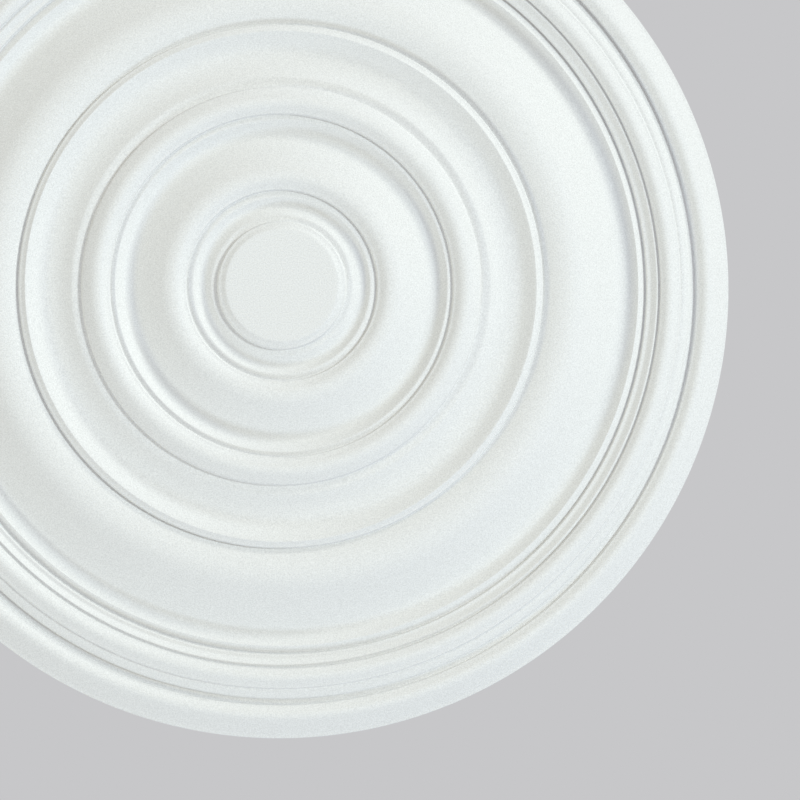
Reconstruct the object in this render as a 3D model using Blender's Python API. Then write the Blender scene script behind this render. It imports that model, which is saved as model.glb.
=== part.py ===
"""A plain moulded ceiling rose in cast plaster, as one solid.

The rose hangs face down. Its flat back lies against the ceiling in the plane z = 0, with the
origin in its middle, and the mouldings stand down from there. The face is turned about the
upright axis from one profile, which runs from the middle pad out to the rim, member after
member. A rise goes away from the ceiling, and a drop goes towards it.
"""

import math

import bmesh
import bpy

# Middle pad, which a lamp's cup covers, and the wall and flat fillet around it
PAD_RADIUS = 0.0367
PAD_EDGE_WIDTH = 0.0049
PAD_EDGE_DROP = 0.0024
PAD_WALL_WIDTH = 0.0008
PAD_WALL_DROP = 0.0030
PAD_FILLET_WIDTH = 0.0039

# Collar: a small hollow with a lip on its outer side
COLLAR_INNER_WIDTH = 0.0066
COLLAR_INNER_DROP = 0.0034
COLLAR_OUTER_WIDTH = 0.0055
COLLAR_OUTER_RISE = 0.0034
COLLAR_LIP_WIDTH = 0.0008
COLLAR_FALL_WIDTH = 0.0033
COLLAR_FALL_DROP = 0.0011

# First swell: a round ring with a long flank on its outer side
FIRST_RISE_WIDTH = 0.0082
FIRST_RISE = 0.0034
FIRST_FALL_WIDTH = 0.0300
FIRST_FALL = 0.0133

# Middle lip, at the outer side of the first swell's trough
MIDDLE_LIP_WIDTH = 0.0083
MIDDLE_LIP_RISE = 0.0057
MIDDLE_FALL_WIDTH = 0.0030
MIDDLE_FALL_DROP = 0.0010

# Second swell, with a step and a flat fillet at its foot
SECOND_RISE_WIDTH = 0.0074
SECOND_RISE = 0.0034
SECOND_FALL_WIDTH = 0.0100
SECOND_FALL = 0.0050
SECOND_STEP_WIDTH = 0.0008
SECOND_STEP_DROP = 0.0028
SECOND_FILLET_WIDTH = 0.0062

# Saucer: a hollow flank that dies out in a trough and climbs to a strong lip with a steep side
SAUCER_FALL_WIDTH = 0.0175
SAUCER_FALL = 0.0057
SAUCER_RISE_WIDTH = 0.0131
SAUCER_RISE = 0.0059
SAUCER_LIP_WIDTH = 0.0038
SAUCER_LIP_DROP = 0.0024
SAUCER_WALL_WIDTH = 0.0009
SAUCER_WALL_DROP = 0.0032

# Great swell, the widest ring
GREAT_RISE_WIDTH = 0.0148
GREAT_RISE = 0.0040
GREAT_FALL_WIDTH = 0.0420
GREAT_FALL = 0.0203

# Outer lip, at the outer side of the great swell's trough
OUTER_LIP_WIDTH = 0.0081
OUTER_LIP_RISE = 0.0048
OUTER_FALL_WIDTH = 0.0052
OUTER_FALL_DROP = 0.0034

# Reed: a flat fillet and a narrow sloping ring
REED_FILLET_WIDTH = 0.0026
REED_WIDTH = 0.0037
REED_RISE = 0.0027
REED_FALL_WIDTH = 0.0021
REED_FALL_DROP = 0.0015

# Bead: a round ring with a fine line cut in its outer flank and a short steep foot
BEAD_RISE_WIDTH = 0.0051
BEAD_RISE = 0.0023
BEAD_UPPER_WIDTH = 0.0075
BEAD_UPPER_DROP = 0.0032
LINE_WIDTH = 0.0016
LINE_DEPTH = 0.0019
BEAD_LOWER_WIDTH = 0.0054
BEAD_LOWER_DROP = 0.0026
BEAD_FOOT_WIDTH = 0.0008
BEAD_FOOT_DROP = 0.0018

# Rim: a sloping groove, the outermost ring, and the thin edge that stands on the ceiling
RIM_GROOVE_WIDTH = 0.0034
RIM_GROOVE_DROP = 0.0008
RIM_WALL_WIDTH = 0.0008
RIM_WALL_RISE = 0.0026
RIM_RISE_WIDTH = 0.0060
RIM_RISE = 0.0026
RIM_FALL_WIDTH = 0.0155
RIM_FALL = 0.0098
RIM_ARRIS = 0.0009
EDGE_HEIGHT = 0.0025

# Quirk: the narrow wall that parts an inner ring from the lip before it
QUIRK_WIDTH = 0.0007
QUIRK_RISE = 0.0027

# Deep quirk: the wall that parts the reed and the bead from the ring before each
DEEP_QUIRK_WIDTH = 0.0007
DEEP_QUIRK_RISE = 0.0029

# Share of a flank's width over which its slope grows or dies out, at a crest or a trough
SHARP = 0.0
TIGHT = 0.15
EASED = 0.25
MILD = 0.35
SOFT = 0.5
ROUND = 0.75
WHOLE = 1.0

# Straight sides around the whole rose, and how far the straight steps along a flank's rounded
# end may stay off its curve
SIDES = 64
CHORD_ERROR = 0.0005

SHARP_EDGE_ANGLE = math.radians(24)

# Points closer together than this are one point
SAME_POINT = 1e-6

# Matt white paint, as a linear colour
PAINT = (0.86, 0.87, 0.86)
PAINT_ROUGHNESS = 0.6


def even_steps(share, climb):
    """Give steps from 0 to 1 along the parabola at one end of a flank.

    The end takes `share` of the flank's width, and the flank would climb `climb` at its full
    slope. The chord of each of n even steps stays climb * share / (8 * n * n) off the curve.
    """
    if not share:
        return []
    steps = math.ceil(math.sqrt(abs(climb) * share / (8 * CHORD_ERROR)))
    return [step / steps for step in range(1, steps + 1)]


class Profile:
    """The face's outline, run outwards from the axis as radii and levels."""

    def __init__(self):
        self.radii = [0.0]
        self.levels = [0.0]

    def straight(self, width, rise=0.0):
        """Run straight on: flat for a fillet or a pad, steep for a wall."""
        self.radii.append(self.radii[-1] + width)
        self.levels.append(self.levels[-1] + rise)

    def flank(self, width, rise, start=SHARP, end=SHARP):
        """Run a flank that is straight in the middle and rounded at its ends.

        The slope grows evenly from level over the share `start` of the width, holds, and dies
        out evenly over the share `end`, so each rounded end is a parabola.
        """
        steepest = rise / (1 - (start + end) / 2)
        shares = [start * step for step in even_steps(start, steepest)]
        if start + end < 1:
            shares.append(1 - end)
        shares += [1 - end + end * step for step in even_steps(end, steepest)]
        radius, level = self.radii[-1], self.levels[-1]
        for share in shares:
            climbed = share - start / 2
            if share < start:
                climbed += (start - share) ** 2 / (2 * start)
            if share > 1 - end:
                climbed -= (share - 1 + end) ** 2 / (2 * end)
            self.radii.append(radius + width * share)
            self.levels.append(level + steepest * climbed)

    def points(self, foot):
        """Give the outline as points in the XZ plane, with its last level at `foot` below z = 0."""
        lift = foot - self.levels[-1]
        return [(radius, 0.0, -(level + lift)) for radius, level in zip(self.radii, self.levels)]


def middle(face):
    """Run the flat pad, its soft edge and its fillet, and the collar around it."""
    face.straight(PAD_RADIUS)
    face.flank(PAD_EDGE_WIDTH, -PAD_EDGE_DROP, start=TIGHT, end=SOFT)
    face.straight(PAD_WALL_WIDTH, -PAD_WALL_DROP)
    face.straight(PAD_FILLET_WIDTH)
    face.flank(COLLAR_INNER_WIDTH, -COLLAR_INNER_DROP, end=SOFT)
    face.flank(COLLAR_OUTER_WIDTH, COLLAR_OUTER_RISE, start=SOFT, end=TIGHT)
    face.straight(COLLAR_LIP_WIDTH)
    face.straight(COLLAR_FALL_WIDTH, -COLLAR_FALL_DROP)


def inner_swells(face):
    """Run the first swell, the middle lip, the second swell and the fillet at its foot."""
    face.straight(QUIRK_WIDTH, QUIRK_RISE)
    face.flank(FIRST_RISE_WIDTH, FIRST_RISE, start=EASED, end=ROUND)
    face.flank(FIRST_FALL_WIDTH, -FIRST_FALL, start=EASED, end=TIGHT)
    face.flank(MIDDLE_LIP_WIDTH, MIDDLE_LIP_RISE, start=SOFT, end=TIGHT)
    face.straight(MIDDLE_FALL_WIDTH, -MIDDLE_FALL_DROP)
    face.straight(QUIRK_WIDTH, QUIRK_RISE)
    face.flank(SECOND_RISE_WIDTH, SECOND_RISE, start=EASED, end=ROUND)
    face.flank(SECOND_FALL_WIDTH, -SECOND_FALL, start=SOFT)
    face.straight(SECOND_STEP_WIDTH, -SECOND_STEP_DROP)
    face.straight(SECOND_FILLET_WIDTH)


def great_rings(face):
    """Run the saucer with its strong lip, the great swell and the outer lip."""
    face.flank(SAUCER_FALL_WIDTH, -SAUCER_FALL, end=ROUND)
    face.flank(SAUCER_RISE_WIDTH, SAUCER_RISE, start=SOFT)
    face.flank(SAUCER_LIP_WIDTH, -SAUCER_LIP_DROP, end=SOFT)
    face.straight(SAUCER_WALL_WIDTH, -SAUCER_WALL_DROP)
    face.flank(GREAT_RISE_WIDTH, GREAT_RISE, end=WHOLE)
    face.flank(GREAT_FALL_WIDTH, -GREAT_FALL, start=MILD, end=TIGHT)
    face.flank(OUTER_LIP_WIDTH, OUTER_LIP_RISE, start=SOFT)
    face.straight(OUTER_FALL_WIDTH, -OUTER_FALL_DROP)


def border(face):
    """Run the reed, the bead with its cut line, and the rim down to its edge."""
    face.straight(DEEP_QUIRK_WIDTH, DEEP_QUIRK_RISE)
    face.straight(REED_FILLET_WIDTH)
    face.straight(REED_WIDTH, REED_RISE)
    face.straight(REED_FALL_WIDTH, -REED_FALL_DROP)
    face.straight(DEEP_QUIRK_WIDTH, DEEP_QUIRK_RISE)
    face.flank(BEAD_RISE_WIDTH, BEAD_RISE, start=EASED, end=ROUND)
    face.flank(BEAD_UPPER_WIDTH, -BEAD_UPPER_DROP, start=SOFT, end=EASED)
    face.straight(LINE_WIDTH / 2, -LINE_DEPTH)
    face.straight(LINE_WIDTH / 2)
    face.flank(BEAD_LOWER_WIDTH, -BEAD_LOWER_DROP, start=SOFT)
    face.straight(BEAD_FOOT_WIDTH, -BEAD_FOOT_DROP)
    face.straight(RIM_GROOVE_WIDTH, -RIM_GROOVE_DROP)
    face.straight(RIM_WALL_WIDTH, RIM_WALL_RISE)
    face.flank(RIM_RISE_WIDTH, RIM_RISE, start=EASED, end=SOFT)
    face.flank(RIM_FALL_WIDTH, -RIM_FALL, start=EASED)
    face.straight(RIM_ARRIS, -RIM_ARRIS)


def plaster():
    """Make the matt white of painted plaster."""
    material = bpy.data.materials.new("white_plaster")
    material.use_nodes = True
    shader = material.node_tree.nodes["Principled BSDF"]
    shader.inputs["Base Color"].default_value = (*PAINT, 1.0)
    shader.inputs["Roughness"].default_value = PAINT_ROUGHNESS
    shader.inputs["Metallic"].default_value = 0.0
    return material


def turned(name, outline, material):
    """Spin an outline that starts and ends on the axis into one closed solid."""
    shape = bmesh.new()
    verts = [shape.verts.new(point) for point in outline]
    edges = [shape.edges.new(pair) for pair in zip(verts, verts[1:])]
    bmesh.ops.spin(shape, geom=verts + edges, cent=(0, 0, 0), axis=(0, 0, 1),
                   angle=2 * math.pi, steps=SIDES, use_merge=True)
    bmesh.ops.remove_doubles(shape, verts=shape.verts, dist=SAME_POINT)
    bmesh.ops.recalc_face_normals(shape, faces=shape.faces)
    mesh = bpy.data.meshes.new(name)
    shape.to_mesh(mesh)
    shape.free()
    mesh.materials.append(material)
    mesh.shade_smooth()
    mesh.set_sharp_from_angle(angle=SHARP_EDGE_ANGLE)
    solid = bpy.data.objects.new(name, mesh)
    bpy.context.collection.objects.link(solid)
    return solid


def main():
    for old in list(bpy.data.objects):
        bpy.data.objects.remove(old, do_unlink=True)
    face = Profile()
    middle(face)
    inner_swells(face)
    great_rings(face)
    border(face)
    outline = face.points(EDGE_HEIGHT)
    rim_radius = face.radii[-1]
    outline += [(rim_radius, 0.0, 0.0), (0.0, 0.0, 0.0)]
    turned("ceiling_rose", outline, plaster())


main()
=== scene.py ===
"""Dresses a plain moulded ceiling rose: its fine turned face, its plaster and its studio.

The file is laid out as an add-on and is run as a script. The rose hangs face down with the middle
of its flat back at the origin, as its solid does, and the camera looks up at it from below.
"""

import math

import bpy
import numpy as np
from bpy.props import FloatProperty, FloatVectorProperty, IntProperty, PointerProperty
from bpy.types import Operator, Panel, PropertyGroup
from mathutils import Matrix, Vector


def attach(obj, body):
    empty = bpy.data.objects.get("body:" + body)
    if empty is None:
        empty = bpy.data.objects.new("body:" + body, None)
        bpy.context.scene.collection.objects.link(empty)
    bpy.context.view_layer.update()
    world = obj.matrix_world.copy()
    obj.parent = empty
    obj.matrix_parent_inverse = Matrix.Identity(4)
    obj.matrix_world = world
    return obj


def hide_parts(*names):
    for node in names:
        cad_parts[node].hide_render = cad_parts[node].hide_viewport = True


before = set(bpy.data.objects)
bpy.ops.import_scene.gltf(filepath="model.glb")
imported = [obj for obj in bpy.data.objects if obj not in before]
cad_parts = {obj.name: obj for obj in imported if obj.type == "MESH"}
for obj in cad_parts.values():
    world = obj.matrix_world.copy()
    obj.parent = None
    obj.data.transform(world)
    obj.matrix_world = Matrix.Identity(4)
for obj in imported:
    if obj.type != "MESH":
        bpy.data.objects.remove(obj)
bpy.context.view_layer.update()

bl_info = {
    "name": "Ceiling Rose",
    "version": (1, 0, 0),
    "blender": (4, 5, 0),
    "location": "3D View > Sidebar > Rose",
    "description": "A turned plaster ceiling rose with its finish, light and camera",
    "category": "Object",
}

NODE = "ceiling_rose"

# Share of a flank's width over which its slope grows or dies out, at a crest or a trough
SHARP = 0.0
TIGHT = 0.15
EASED = 0.25
MILD = 0.35
SOFT = 0.5
ROUND = 0.75
WHOLE = 1.0

# Stands in for a sharp end's share of nothing where the formula divides by it
TINY = 1e-9

# Even samples of the face, how far the blur reaches in softnesses, and how much more a stretch
# counts where the profile turns
FACE_SAMPLES = 6000
BLUR_REACH = 4
TURNING_WEIGHT = 1.6

# Points inside the rim's rounded corner and the back's, and rings of the flat back
CORNER_POINTS = 4
BACK_CORNER_POINTS = 2
BACK_RINGS = 7

# The paint covers the thin edge and the first point of the back's corner, this many points
# past the first of the widest ones
PAINT_WRAP = 2

# Samples and window that smooth the quirks away, and the depth below that form at which a quirk
# takes the full painted shade
BROAD_SAMPLES = 3000
BROAD_WINDOW = 25
QUIRK_DEPTH = 0.0012

# How far the paint's grain goes darker and paler, and the grain's contrast around its middle
GRAIN_RANGE = 0.12
GRAIN_MIDDLE = 0.5
GRAIN_CONTRAST = 2.0

# Share and tone of the broad patches, and share of the painted shade that darkens the quirks
PATCH_SHARE = 0.12
PATCH_TONE = 0.9
QUIRK_SHADE_SHARE = 0.1

# Size, darkest tone and relief of the trowel marks in the back's raw plaster
TROWEL_SIZE = 0.012
TROWEL_TONE = 0.88
TROWEL_RELIEF = 4.0

# Specular level of the matt paint and the raw plaster
SPECULAR = 0.35

# Size and tone of the floor's faint patches, and how matt it is
FLOOR_PATCH = 0.4
FLOOR_TONE = 0.97
FLOOR_ROUGHNESS = 0.8

# Width of the camera's sensor in millimetres
SENSOR_WIDTH = 36.0

# Places of a Mix node's factor and two colours among its inputs, and of its colour output
MIX_INPUTS = (0, 6, 7)
MIX_OUTPUT = 2


def length(name, description, default):
    """A size in metres."""
    return FloatProperty(name=name, description=description, default=default, min=0.0,
                         precision=5, subtype="DISTANCE", unit="LENGTH")


def colour(name, description, default):
    """A colour in linear light."""
    return FloatVectorProperty(name=name, description=description, default=default, min=0.0,
                               max=1.0, size=3, subtype="COLOR")


def place_along(name, description, default):
    """A place along an axis, in metres, on either side of the rose's middle."""
    return FloatProperty(name=name, description=description, default=default, unit="LENGTH")


class RoseSizes(PropertyGroup):
    """The widths and drops of the rose's rings, from the middle pad out to the rim."""

    pad_radius: length("Pad radius", "Flat middle pad", 0.0367)
    pad_edge_width: length("Pad edge width", "Soft edge of the pad", 0.0049)
    pad_edge_drop: length("Pad edge drop", "Soft edge of the pad", 0.0024)
    pad_wall_width: length("Pad wall width", "Low wall under the pad's edge", 0.0008)
    pad_wall_drop: length("Pad wall drop", "Low wall under the pad's edge", 0.0030)
    pad_fillet_width: length("Pad fillet width", "Flat fillet around the pad", 0.0039)

    collar_inner_width: length("Collar inner width", "Inner side of the small hollow", 0.0066)
    collar_inner_drop: length("Collar inner drop", "Inner side of the small hollow", 0.0034)
    collar_outer_width: length("Collar outer width", "Outer side of the small hollow", 0.0055)
    collar_outer_rise: length("Collar outer rise", "Outer side of the small hollow", 0.0034)
    collar_lip_width: length("Collar lip width", "Flat top of the collar's lip", 0.0008)
    collar_fall_width: length("Collar fall width", "Slope outside the lip", 0.0033)
    collar_fall_drop: length("Collar fall drop", "Slope outside the lip", 0.0011)

    first_rise_width: length("First rise width", "Inner flank of the first swell", 0.0082)
    first_rise: length("First rise", "Inner flank of the first swell", 0.0034)
    first_fall_width: length("First fall width", "Outer flank of the first swell", 0.0300)
    first_fall: length("First fall", "Outer flank of the first swell", 0.0133)

    middle_lip_width: length("Middle lip width", "Climb to the middle lip", 0.0083)
    middle_lip_rise: length("Middle lip rise", "Climb to the middle lip", 0.0057)
    middle_fall_width: length("Middle fall width", "Slope outside the middle lip", 0.0030)
    middle_fall_drop: length("Middle fall drop", "Slope outside the middle lip", 0.0010)

    second_rise_width: length("Second rise width", "Inner flank of the second swell", 0.0074)
    second_rise: length("Second rise", "Inner flank of the second swell", 0.0034)
    second_fall_width: length("Second fall width", "Outer flank of the second swell", 0.0100)
    second_fall: length("Second fall", "Outer flank of the second swell", 0.0050)
    second_step_width: length("Second step width", "Step at the second swell's foot", 0.0008)
    second_step_drop: length("Second step drop", "Step at the second swell's foot", 0.0028)
    second_fillet_width: length("Second fillet width", "Flat fillet below the step", 0.0062)

    saucer_fall_width: length("Saucer fall width", "Hollow flank into the saucer", 0.0175)
    saucer_fall: length("Saucer fall", "Hollow flank into the saucer", 0.0057)
    saucer_rise_width: length("Saucer rise width", "Climb to the strong lip", 0.0131)
    saucer_rise: length("Saucer rise", "Climb to the strong lip", 0.0059)
    saucer_lip_width: length("Saucer lip width", "Slope outside the strong lip", 0.0038)
    saucer_lip_drop: length("Saucer lip drop", "Slope outside the strong lip", 0.0024)
    saucer_wall_width: length("Saucer wall width", "Steep side of the strong lip", 0.0009)
    saucer_wall_drop: length("Saucer wall drop", "Steep side of the strong lip", 0.0032)

    great_rise_width: length("Great rise width", "Inner flank of the great swell", 0.0148)
    great_rise: length("Great rise", "Inner flank of the great swell", 0.0040)
    great_fall_width: length("Great fall width", "Outer flank of the great swell", 0.0420)
    great_fall: length("Great fall", "Outer flank of the great swell", 0.0203)

    outer_lip_width: length("Outer lip width", "Climb to the outer lip", 0.0081)
    outer_lip_rise: length("Outer lip rise", "Climb to the outer lip", 0.0048)
    outer_fall_width: length("Outer fall width", "Slope outside the outer lip", 0.0052)
    outer_fall_drop: length("Outer fall drop", "Slope outside the outer lip", 0.0034)

    reed_fillet_width: length("Reed fillet width", "Flat fillet before the reed", 0.0026)
    reed_width: length("Reed width", "Narrow sloping ring", 0.0037)
    reed_rise: length("Reed rise", "Narrow sloping ring", 0.0027)
    reed_fall_width: length("Reed fall width", "Outer side of the reed", 0.0021)
    reed_fall_drop: length("Reed fall drop", "Outer side of the reed", 0.0015)

    bead_rise_width: length("Bead rise width", "Inner flank of the bead", 0.0051)
    bead_rise: length("Bead rise", "Inner flank of the bead", 0.0023)
    bead_upper_width: length("Bead upper width", "Flank down to the cut line", 0.0075)
    bead_upper_drop: length("Bead upper drop", "Flank down to the cut line", 0.0032)
    line_width: length("Line width", "Fine line cut in the bead", 0.0016)
    line_depth: length("Line depth", "Fine line cut in the bead", 0.0019)
    bead_lower_width: length("Bead lower width", "Flank below the cut line", 0.0054)
    bead_lower_drop: length("Bead lower drop", "Flank below the cut line", 0.0026)
    bead_foot_width: length("Bead foot width", "Short steep foot of the bead", 0.0008)
    bead_foot_drop: length("Bead foot drop", "Short steep foot of the bead", 0.0018)

    rim_groove_width: length("Rim groove width", "Sloping groove between bead and rim", 0.0034)
    rim_groove_drop: length("Rim groove drop", "Sloping groove between bead and rim", 0.0008)
    rim_wall_width: length("Rim wall width", "Wall where the rim starts", 0.0008)
    rim_wall_rise: length("Rim wall rise", "Wall where the rim starts", 0.0026)
    rim_rise_width: length("Rim rise width", "Inner flank of the rim", 0.0060)
    rim_rise: length("Rim rise", "Inner flank of the rim", 0.0026)
    rim_fall_width: length("Rim fall width", "Outer flank of the rim", 0.0155)
    rim_fall: length("Rim fall", "Outer flank of the rim", 0.0098)
    rim_arris: length("Rim arris", "Radius of the rim's outer corner", 0.0009)
    edge_height: length("Edge height", "Thin edge on the ceiling, with its corner", 0.0034)
    back_arris: length("Back arris", "Rounding where the edge meets the back", 0.0004)

    quirk_width: length("Quirk width", "Narrow wall that parts two rings", 0.0007)
    quirk_rise: length("Quirk rise", "Narrow wall that parts two rings", 0.0027)

    deep_quirk_width: length("Deep quirk width", "Wall that parts two rings of the border", 0.0007)
    deep_quirk_rise: length("Deep quirk rise", "Wall that parts two rings of the border", 0.0029)

    softness: length("Arris softness", "Width of the blur that rounds every arris", 0.00014)
    sides: IntProperty(name="Sides", description="Steps around the rose", default=288, min=24)
    stations: IntProperty(name="Stations", description="Points along the face", default=320, min=60)


class RoseFinish(PropertyGroup):
    """The plaster's colours and its fine surface."""

    paint: colour("Paint", "Matt white paint on the face", (0.72, 0.72, 0.72))
    # Painted shade: a grey mixed into the quirks' paint to darken them where shade falls
    quirk_shade: colour("Dust", "Grey that settles in the quirks", (0.50, 0.49, 0.47))
    raw_plaster: colour("Raw plaster", "Unpainted plaster of the back", (0.74, 0.72, 0.67))
    stipple: length("Stipple", "Grain of the paint", 0.0008)
    stipple_height: length("Stipple height", "Relief of the paint's grain", 0.00015)
    mottle: length("Mottle", "Broad patches of the plaster", 0.060)
    roughness: FloatProperty(name="Roughness", description="Matt paint", default=0.62, min=0, max=1)


class RoseStudio(PropertyGroup):
    """The camera, the floor and the surroundings."""

    camera_depth: length("Camera depth", "How far the camera is below the ceiling", 2.2)
    camera_side: place_along("Camera side", "Camera along X", -0.0292)
    camera_across: place_along("Camera across", "Camera along Y", 0.1056)
    aim_side: place_along("Aim side", "Middle of the picture along X", 0.0794)
    aim_across: place_along("Aim across", "Middle of the picture along Y", 0.0747)
    lens: FloatProperty(name="Lens", description="Focal length in millimetres", default=148.33)
    room_height: length("Room height", "From the floor to the ceiling", 2.6)
    floor_width: length("Floor width", "Side of the square floor", 24.0)
    floor_paint: colour("Floor paint", "Plain pale floor", (0.80, 0.80, 0.79))
    surround: colour("Surround", "Pale grey around the rose", (0.571, 0.571, 0.584))


class Field:
    """A value that varies over a surface, so that shader maths reads as arithmetic."""

    def __init__(self, tree, socket):
        self.tree = tree
        self.socket = socket

    def maths(self, operation, *others, clamp=False):
        """Add a Math node that works on this value and the others."""
        node = self.tree.nodes.new("ShaderNodeMath")
        node.operation = operation
        node.use_clamp = clamp
        for place, value in enumerate((self, *others)):
            if isinstance(value, Field):
                self.tree.links.new(value.socket, node.inputs[place])
            else:
                node.inputs[place].default_value = value
        return Field(self.tree, node.outputs[0])

    def __add__(self, other):
        return self.maths("ADD", other)

    def __sub__(self, other):
        return self.maths("SUBTRACT", other)

    def __rsub__(self, other):
        return (self * -1.0) + other

    def __mul__(self, other):
        return self.maths("MULTIPLY", other)

    __radd__ = __add__
    __rmul__ = __mul__

    def clamped(self):
        """Hold the value between 0 and 1."""
        return self.maths("ADD", 0.0, clamp=True)


class Finish:
    """A material under construction around one Principled shader."""

    def __init__(self, name):
        self.material = bpy.data.materials.new(name)
        self.material.use_nodes = True
        self.tree = self.material.node_tree
        self.shader = self.tree.nodes["Principled BSDF"]

    def node(self, kind, output=0, settings=(), **inputs):
        """Add a node: its settings first, then a value or a link for each named socket."""
        node = self.tree.nodes.new(kind)
        for name, value in dict(settings).items():
            setattr(node, name, value)
        for name, value in inputs.items():
            self.feed(node.inputs[name.replace("_", " ")], value)
        return Field(self.tree, node.outputs[output])

    def feed(self, socket, value):
        """Give a socket a link from a field, or a plain value or colour."""
        if isinstance(value, Field):
            self.tree.links.new(value.socket, socket)
        elif hasattr(value, "__len__") and len(socket.default_value) == 4 and len(value) == 3:
            socket.default_value = (*value, 1.0)
        else:
            socket.default_value = value

    def place(self):
        """Points of the piece, in metres from its origin."""
        return self.node("ShaderNodeTexCoord", output="Object")

    def noise(self, width, detail=2.0, roughness=0.5):
        """Noise from 0 to 1 whose features are about `width` across."""
        return self.node("ShaderNodeTexNoise", output="Fac", Vector=self.place(),
                         Scale=1.0 / width, Detail=detail, Roughness=roughness)

    def attribute(self, name):
        """A value kept on the mesh."""
        return self.node("ShaderNodeAttribute", output="Fac",
                         settings={"attribute_name": name, "attribute_type": "GEOMETRY"})

    def mix(self, share, first, second):
        """A colour that goes from the first to the second as the share goes from 0 to 1."""
        node = self.tree.nodes.new("ShaderNodeMix")
        node.data_type = "RGBA"
        factor, start, end = (node.inputs[place] for place in MIX_INPUTS)
        self.feed(factor, share)
        self.feed(start, first)
        self.feed(end, second)
        return Field(self.tree, node.outputs[MIX_OUTPUT])

    def bump(self, height, distance):
        """A normal bent by a relief in which a height of 1 stands for `distance`."""
        return self.node("ShaderNodeBump", Height=height, Distance=distance, Strength=1.0)


def flank(width, rise, start=SHARP, end=SHARP):
    """One member of the profile: its width, its rise and how much of each end is rounded."""
    return width, rise, start, end


def members(size):
    """List the face's members from the pad's edge out to the rim's corner.

    A rise goes away from the ceiling and a drop towards it. A member with sharp ends is a
    straight fillet or wall.
    """
    quirk = flank(size.quirk_width, size.quirk_rise)
    deep_quirk = flank(size.deep_quirk_width, size.deep_quirk_rise)
    return [
        flank(size.pad_edge_width, -size.pad_edge_drop, start=TIGHT, end=SOFT),
        flank(size.pad_wall_width, -size.pad_wall_drop),
        flank(size.pad_fillet_width, 0.0),
        flank(size.collar_inner_width, -size.collar_inner_drop, end=SOFT),
        flank(size.collar_outer_width, size.collar_outer_rise, start=SOFT, end=TIGHT),
        flank(size.collar_lip_width, 0.0),
        flank(size.collar_fall_width, -size.collar_fall_drop),
        quirk,
        flank(size.first_rise_width, size.first_rise, start=EASED, end=ROUND),
        flank(size.first_fall_width, -size.first_fall, start=EASED, end=TIGHT),
        flank(size.middle_lip_width, size.middle_lip_rise, start=SOFT, end=TIGHT),
        flank(size.middle_fall_width, -size.middle_fall_drop),
        quirk,
        flank(size.second_rise_width, size.second_rise, start=EASED, end=ROUND),
        flank(size.second_fall_width, -size.second_fall, start=SOFT),
        flank(size.second_step_width, -size.second_step_drop),
        flank(size.second_fillet_width, 0.0),
        flank(size.saucer_fall_width, -size.saucer_fall, end=ROUND),
        flank(size.saucer_rise_width, size.saucer_rise, start=SOFT),
        flank(size.saucer_lip_width, -size.saucer_lip_drop, end=SOFT),
        flank(size.saucer_wall_width, -size.saucer_wall_drop),
        flank(size.great_rise_width, size.great_rise, end=WHOLE),
        flank(size.great_fall_width, -size.great_fall, start=MILD, end=TIGHT),
        flank(size.outer_lip_width, size.outer_lip_rise, start=SOFT),
        flank(size.outer_fall_width, -size.outer_fall_drop),
        deep_quirk,
        flank(size.reed_fillet_width, 0.0),
        flank(size.reed_width, size.reed_rise),
        flank(size.reed_fall_width, -size.reed_fall_drop),
        deep_quirk,
        flank(size.bead_rise_width, size.bead_rise, start=EASED, end=ROUND),
        flank(size.bead_upper_width, -size.bead_upper_drop, start=SOFT, end=EASED),
        flank(size.line_width / 2, -size.line_depth),
        flank(size.line_width / 2, 0.0),
        flank(size.bead_lower_width, -size.bead_lower_drop, start=SOFT),
        flank(size.bead_foot_width, -size.bead_foot_drop),
        flank(size.rim_groove_width, -size.rim_groove_drop),
        flank(size.rim_wall_width, size.rim_wall_rise),
        flank(size.rim_rise_width, size.rim_rise, start=EASED, end=SOFT),
        flank(size.rim_fall_width, -size.rim_fall, start=EASED),
    ]


def face_levels(size, radii):
    """Heights off the ceiling at an even row of radii, from the axis out to the rim's corner.

    Each flank climbs by the integral of its slope. Along it the slope grows evenly over the
    share `start`, holds, and dies out evenly over the share `end`:
    climb(t) = t - start/2 + max(start - t, 0)^2 / (2 start) - max(t - 1 + end, 0)^2 / (2 end),
    times rise / (1 - (start + end) / 2), and members follow one another. The levels are then
    blurred by a bell curve as wide as the softness, which rounds every arris.
    """
    widths, rises, starts, ends = np.array(members(size)).T
    inner = size.pad_radius + np.concatenate([[0.0], np.cumsum(widths)[:-1]])
    levels = np.zeros_like(radii)
    for place in range(len(widths)):
        start, end = max(starts[place], TINY), max(ends[place], TINY)
        t = np.clip((radii - inner[place]) / widths[place], 0.0, 1.0)
        climb = t - start / 2 + np.maximum(start - t, 0.0) ** 2 / (2 * start)
        climb -= np.maximum(t - 1 + end, 0.0) ** 2 / (2 * end)
        levels += rises[place] * climb / (1 - (start + end) / 2)
    step = radii[1] - radii[0]
    half = BLUR_REACH * size.softness
    reach = np.arange(-half, half + step, step)
    bell = np.exp(-0.5 * (reach / size.softness) ** 2)
    padding = len(reach)
    padded = np.pad(levels, padding, mode="reflect", reflect_type="odd")
    levels = np.convolve(padded, bell / bell.sum(), mode="same")[padding:-padding]
    return levels - levels[-1] + size.edge_height


def spaced_by_turning(radii, levels, count):
    """Pick `count` radii of a profile, closer together where it turns.

    The weight of a stretch is its length plus what its slope changes, so the picked points
    split that total evenly.
    """
    slope = np.gradient(levels, radii)
    turning = np.abs(np.gradient(slope, radii))
    weight = 1.0 + TURNING_WEIGHT * turning / turning.mean()
    total = np.concatenate([[0.0], np.cumsum((weight[1:] + weight[:-1]) / 2 * np.diff(radii))])
    return np.interp(np.linspace(0.0, total[-1], count), total, radii)


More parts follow.
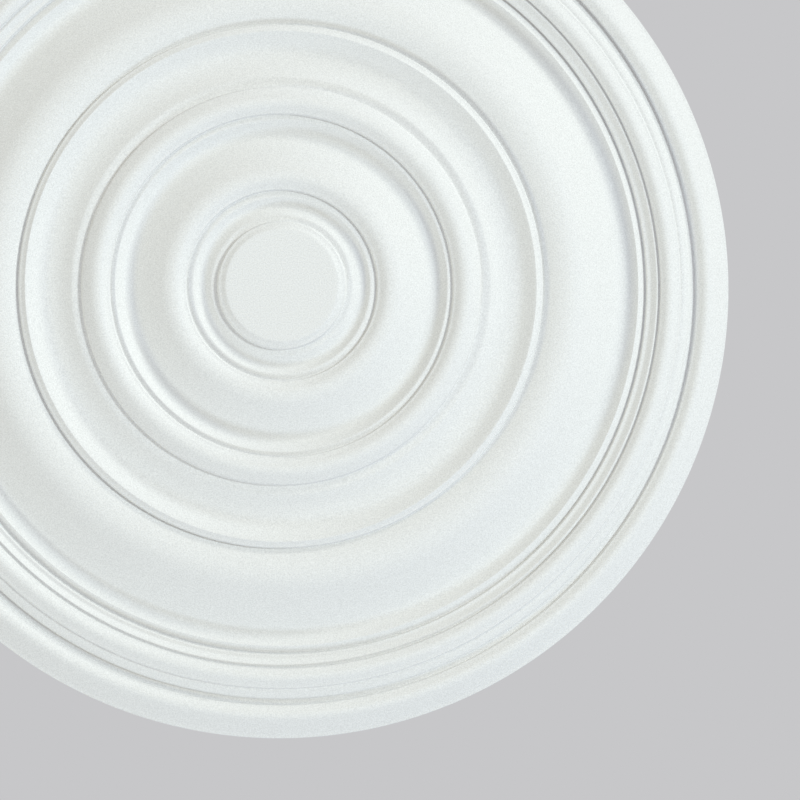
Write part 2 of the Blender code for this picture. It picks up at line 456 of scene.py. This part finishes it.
def quarter_turn(steps):
    """Cosines and sines of angles from 0 to 90 degrees, both ends left out."""
    turn = np.linspace(0.0, np.pi / 2, steps + 2)[1:-1]
    return np.cos(turn), np.sin(turn)


def rose_outline(size):
    """Radii and heights from the middle of the pad, over the rim and back to the axis.

    The face ends in a quarter circle of the rim's arris, the thin edge stands straight up to
    the ceiling, and a smaller quarter circle turns it onto the flat back.
    """
    face_end = size.pad_radius + sum(width for width, *_ in members(size))
    even = np.linspace(0.0, face_end, FACE_SAMPLES)
    levels = face_levels(size, even)
    radii = spaced_by_turning(even, levels, size.stations)
    heights = np.interp(radii, even, levels)
    rim_radius = face_end + size.rim_arris
    cosine, sine = quarter_turn(CORNER_POINTS)
    corner_radii = face_end + size.rim_arris * sine
    corner_heights = size.edge_height - size.rim_arris * (1 - cosine)
    back_cosine, back_sine = quarter_turn(BACK_CORNER_POINTS)
    back_radii = rim_radius - size.back_arris * (1 - back_cosine)
    back_heights = size.back_arris * (1 - back_sine)
    edge = [(rim_radius, size.edge_height - size.rim_arris), (rim_radius, size.back_arris)]
    flat_radii = np.linspace(rim_radius - size.back_arris, 0.0, BACK_RINGS)
    edge_radii, edge_heights = np.array(edge).T
    return (
        np.concatenate([radii, corner_radii, edge_radii, back_radii, flat_radii]),
        np.concatenate([heights, corner_heights, edge_heights, back_heights, 0 * flat_radii]),
    )


def turned_mesh(name, radii, heights, sides):
    """Turn an outline that starts and ends on the axis into a closed mesh.

    A point is (radius cos a, radius sin a, -height) for each outline point and each of `sides`
    even angles a. The two ends of the outline are single points, the poles.
    """
    turn = np.linspace(0.0, 2 * np.pi, sides, endpoint=False)
    ring_radii, ring_heights = radii[1:-1, None], heights[1:-1, None]
    rings = np.stack(np.broadcast_arrays(
        ring_radii * np.cos(turn), ring_radii * np.sin(turn), -ring_heights), axis=-1)
    poles = np.array([[0.0, 0.0, -heights[0]], [0.0, 0.0, -heights[-1]]])
    count = len(radii) - 2
    face_pole, back_pole = count * sides, count * sides + 1
    place = np.arange(sides)
    after = (place + 1) % sides
    rows = np.arange(count - 1)[:, None] * sides
    quads = np.stack([rows + place, rows + after, rows + after + sides, rows + place + sides],
                     axis=-1).reshape(-1, 4)
    last = (count - 1) * sides
    fans = [np.stack([np.full(sides, face_pole), after, place], axis=-1),
            np.stack([np.full(sides, back_pole), last + place, last + after], axis=-1)]
    corners = np.concatenate([quads.ravel()] + [fan.ravel() for fan in fans])
    sizes = np.concatenate([np.full(len(quads), 4), np.full(2 * sides, 3)])
    mesh = bpy.data.meshes.new(name)
    mesh.vertices.add(count * sides + 2)
    mesh.vertices.foreach_set("co", np.concatenate([rings.reshape(-1, 3), poles]).ravel())
    mesh.loops.add(len(corners))
    mesh.loops.foreach_set("vertex_index", corners.astype(np.int32))
    mesh.polygons.add(len(sizes))
    starts = np.concatenate([[0], np.cumsum(sizes)[:-1]])
    mesh.polygons.foreach_set("loop_start", starts.astype(np.int32))
    mesh.polygons.foreach_set("loop_total", sizes.astype(np.int32))
    mesh.update(calc_edges=True)
    mesh.validate()
    mesh.shade_smooth()
    return mesh


def keep_on_rings(mesh, name, values, sides):
    """Keep one value for each point of the outline, on its whole ring or on its pole."""
    layer = mesh.attributes.new(name, "FLOAT", "POINT")
    rings = np.repeat(values[1:-1], sides)
    layer.data.foreach_set("value", np.concatenate([rings, values[[0, -1]]]))


def toned(shade, tone):
    """A colour made darker or paler by one factor."""
    return [tone * part for part in shade]


def plaster(finish):
    """Matt white paint with faint patches, a fine grain and painted shade in the quirks, and the raw
    back.
    """
    made = Finish("white_plaster")
    hollow = made.attribute("hollow")
    back = made.attribute("back")
    patches = made.noise(finish.mottle, detail=3.0)
    grain = made.noise(finish.stipple, detail=1.0)
    speck = (grain - GRAIN_MIDDLE) * GRAIN_CONTRAST + GRAIN_MIDDLE
    paint = made.mix(speck, toned(finish.paint, 1 - GRAIN_RANGE),
                     toned(finish.paint, 1 + GRAIN_RANGE))
    paint = made.mix(patches * PATCH_SHARE, paint, toned(finish.paint, PATCH_TONE))
    # Painted shade: the quirks' paint goes towards a grey as deep as they sit below the broad form
    face = made.mix((hollow * QUIRK_SHADE_SHARE).clamped(), paint, finish.quirk_shade)
    trowel = made.noise(TROWEL_SIZE, detail=4.0, roughness=0.6)
    raw = made.mix(trowel, toned(finish.raw_plaster, TROWEL_TONE), finish.raw_plaster)
    made.feed(made.shader.inputs["Base Color"], made.mix(back, face, raw))
    made.shader.inputs["Roughness"].default_value = finish.roughness
    made.shader.inputs["Specular IOR Level"].default_value = SPECULAR
    height = grain + trowel * back * TROWEL_RELIEF
    made.feed(made.shader.inputs["Normal"], made.bump(height, finish.stipple_height))
    return made.material


class ROSE_OT_casting(Operator):
    """Turn the rose's fine face, edge and back, and dress it in painted plaster"""

    bl_idname = "rose.casting"
    bl_label = "Turn the Rose"

    def execute(self, context):
        size = context.scene.rose_sizes
        radii, heights = rose_outline(size)
        mesh = turned_mesh("rose_casting", radii, heights, size.sides)
        widest = radii.argmax()
        on_back = np.arange(len(radii)) > widest + PAINT_WRAP
        # How deep each point sits below the broad form: the mask of the painted shade in the quirks
        blurred = np.interp(radii, *self.broad_form(radii[:widest], heights[:widest]))
        hollow = np.clip((blurred - heights) / QUIRK_DEPTH, 0.0, 1.0) * ~on_back
        keep_on_rings(mesh, "hollow", hollow, size.sides)
        keep_on_rings(mesh, "back", on_back.astype(float), size.sides)
        mesh.materials.append(plaster(context.scene.rose_finish))
        piece = bpy.data.objects.new("rose_casting", mesh)
        context.collection.objects.link(piece)
        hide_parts(NODE)
        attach(piece, "root")
        return {"FINISHED"}

    @staticmethod
    def broad_form(radii, heights):
        """The face with its narrow quirks smoothed away, as radii and heights.

        Each height is the mean of its neighbours, weighted by a raised cosine.
        """
        even = np.linspace(0.0, radii[-1], BROAD_SAMPLES)
        levels = np.pad(np.interp(even, radii, heights), BROAD_WINDOW // 2, mode="edge")
        window = np.hanning(BROAD_WINDOW)
        return even, np.convolve(levels, window / window.sum(), mode="valid")


class ROSE_OT_stage(Operator):
    """Lay the plain pale floor and set the soft light, the surroundings and the camera"""

    bl_idname = "rose.stage"
    bl_label = "Set the Stage"

    # A light's name, its bearing around the rose and its angle off straight below, both in
    # degrees, and the linear colour that it gives to a white face square to it
    LIGHTS = (
        ("right", -20, 50, (0.509, 0.568, 0.564)),
        ("upper_right", -55, 68, (0.245, 0.247, 0.221)),
        ("left", 165, 68, (0.182, 0.172, 0.100)),
        ("lower", 110, 68, (0.223, 0.266, 0.307)),
        ("above", 0, 180, (0.100, 0.100, 0.100)),
    )

    # How wide each light looks from the rose, in degrees
    SPREAD = 10

    def execute(self, context):
        studio = context.scene.rose_studio
        self.floor(context, studio)
        self.surround(context, studio)
        for name, bearing, off_axis, shade in self.LIGHTS:
            self.light(context, name, math.radians(bearing), math.radians(off_axis),
                       math.radians(self.SPREAD), shade)
        self.camera(context, studio)
        return {"FINISHED"}

    @staticmethod
    def floor(context, studio):
        """A flat square sheet as far below the ceiling as the room is high."""
        reach = studio.floor_width / 2
        corners = [(x, y, -studio.room_height)
                   for x, y in ((-reach, -reach), (reach, -reach), (reach, reach), (-reach, reach))]
        mesh = bpy.data.meshes.new("floor")
        mesh.from_pydata(corners, [], [(0, 1, 2, 3)])
        made = Finish("floor_paint")
        patches = made.noise(FLOOR_PATCH)
        pale = studio.floor_paint
        made.feed(made.shader.inputs["Base Color"], made.mix(patches, toned(pale, FLOOR_TONE), pale))
        made.shader.inputs["Roughness"].default_value = FLOOR_ROUGHNESS
        mesh.materials.append(made.material)
        floor = bpy.data.objects.new("floor", mesh)
        floor.visible_shadow = False
        context.collection.objects.link(floor)

    @staticmethod
    def surround(context, studio):
        """An even pale grey on all sides."""
        world = bpy.data.worlds.new("surround")
        world.use_nodes = True
        world.node_tree.nodes["Background"].inputs["Color"].default_value = (*studio.surround, 1.0)
        context.scene.world = world

    @staticmethod
    def light(context, name, bearing, off_axis, spread, shade):
        """A soft light from far off, on the side given by its bearing and its angle off -Z."""
        side = Vector((math.sin(off_axis) * math.cos(bearing),
                       math.sin(off_axis) * math.sin(bearing), -math.cos(off_axis)))
        lamp = bpy.data.lights.new(name, "SUN")
        lamp.angle = spread
        lamp.energy = max(shade) * math.pi
        lamp.color = [part / max(shade) for part in shade]
        holder = bpy.data.objects.new(name, lamp)
        holder.rotation_euler = (-side).to_track_quat("-Z", "Y").to_euler()
        context.collection.objects.link(holder)

    @staticmethod
    def camera(context, studio):
        """Look up at the aim point from below, with the picture's top towards -Y."""
        eye = Vector((studio.camera_side, studio.camera_across, -studio.camera_depth))
        aim = Vector((studio.aim_side, studio.aim_across, 0.0))
        forward = (aim - eye).normalized()
        right = forward.cross(Vector((0.0, -1.0, 0.0))).normalized()
        up = right.cross(forward)
        lens = bpy.data.cameras.new("camera")
        lens.lens = studio.lens
        lens.sensor_width = SENSOR_WIDTH
        holder = bpy.data.objects.new("camera", lens)
        turn = Matrix((right, up, -forward)).transposed()
        holder.matrix_world = Matrix.Translation(eye) @ turn.to_4x4()
        context.collection.objects.link(holder)
        context.scene.camera = holder
        context.scene.view_settings.view_transform = "Standard"


class ROSE_PT_panel(Panel):
    """The rose's sizes, finish and steps, in the sidebar"""

    bl_label = "Ceiling Rose"
    bl_space_type = "VIEW_3D"
    bl_region_type = "UI"
    bl_category = "Rose"

    def draw(self, context):
        layout = self.layout
        layout.operator(ROSE_OT_casting.bl_idname)
        layout.operator(ROSE_OT_stage.bl_idname)
        for group in (context.scene.rose_sizes, context.scene.rose_finish,
                      context.scene.rose_studio):
            column = layout.column()
            for name in group.__annotations__:
                column.prop(group, name)


CLASSES = (RoseSizes, RoseFinish, RoseStudio, ROSE_OT_casting, ROSE_OT_stage, ROSE_PT_panel)


def register():
    for kind in CLASSES:
        bpy.utils.register_class(kind)
    bpy.types.Scene.rose_sizes = PointerProperty(type=RoseSizes)
    bpy.types.Scene.rose_finish = PointerProperty(type=RoseFinish)
    bpy.types.Scene.rose_studio = PointerProperty(type=RoseStudio)


def unregister():
    del bpy.types.Scene.rose_studio
    del bpy.types.Scene.rose_finish
    del bpy.types.Scene.rose_sizes
    for kind in reversed(CLASSES):
        bpy.utils.unregister_class(kind)


def main():
    register()
    bpy.ops.rose.casting()
    bpy.ops.rose.stage()


if __name__ == "__main__":
    main()
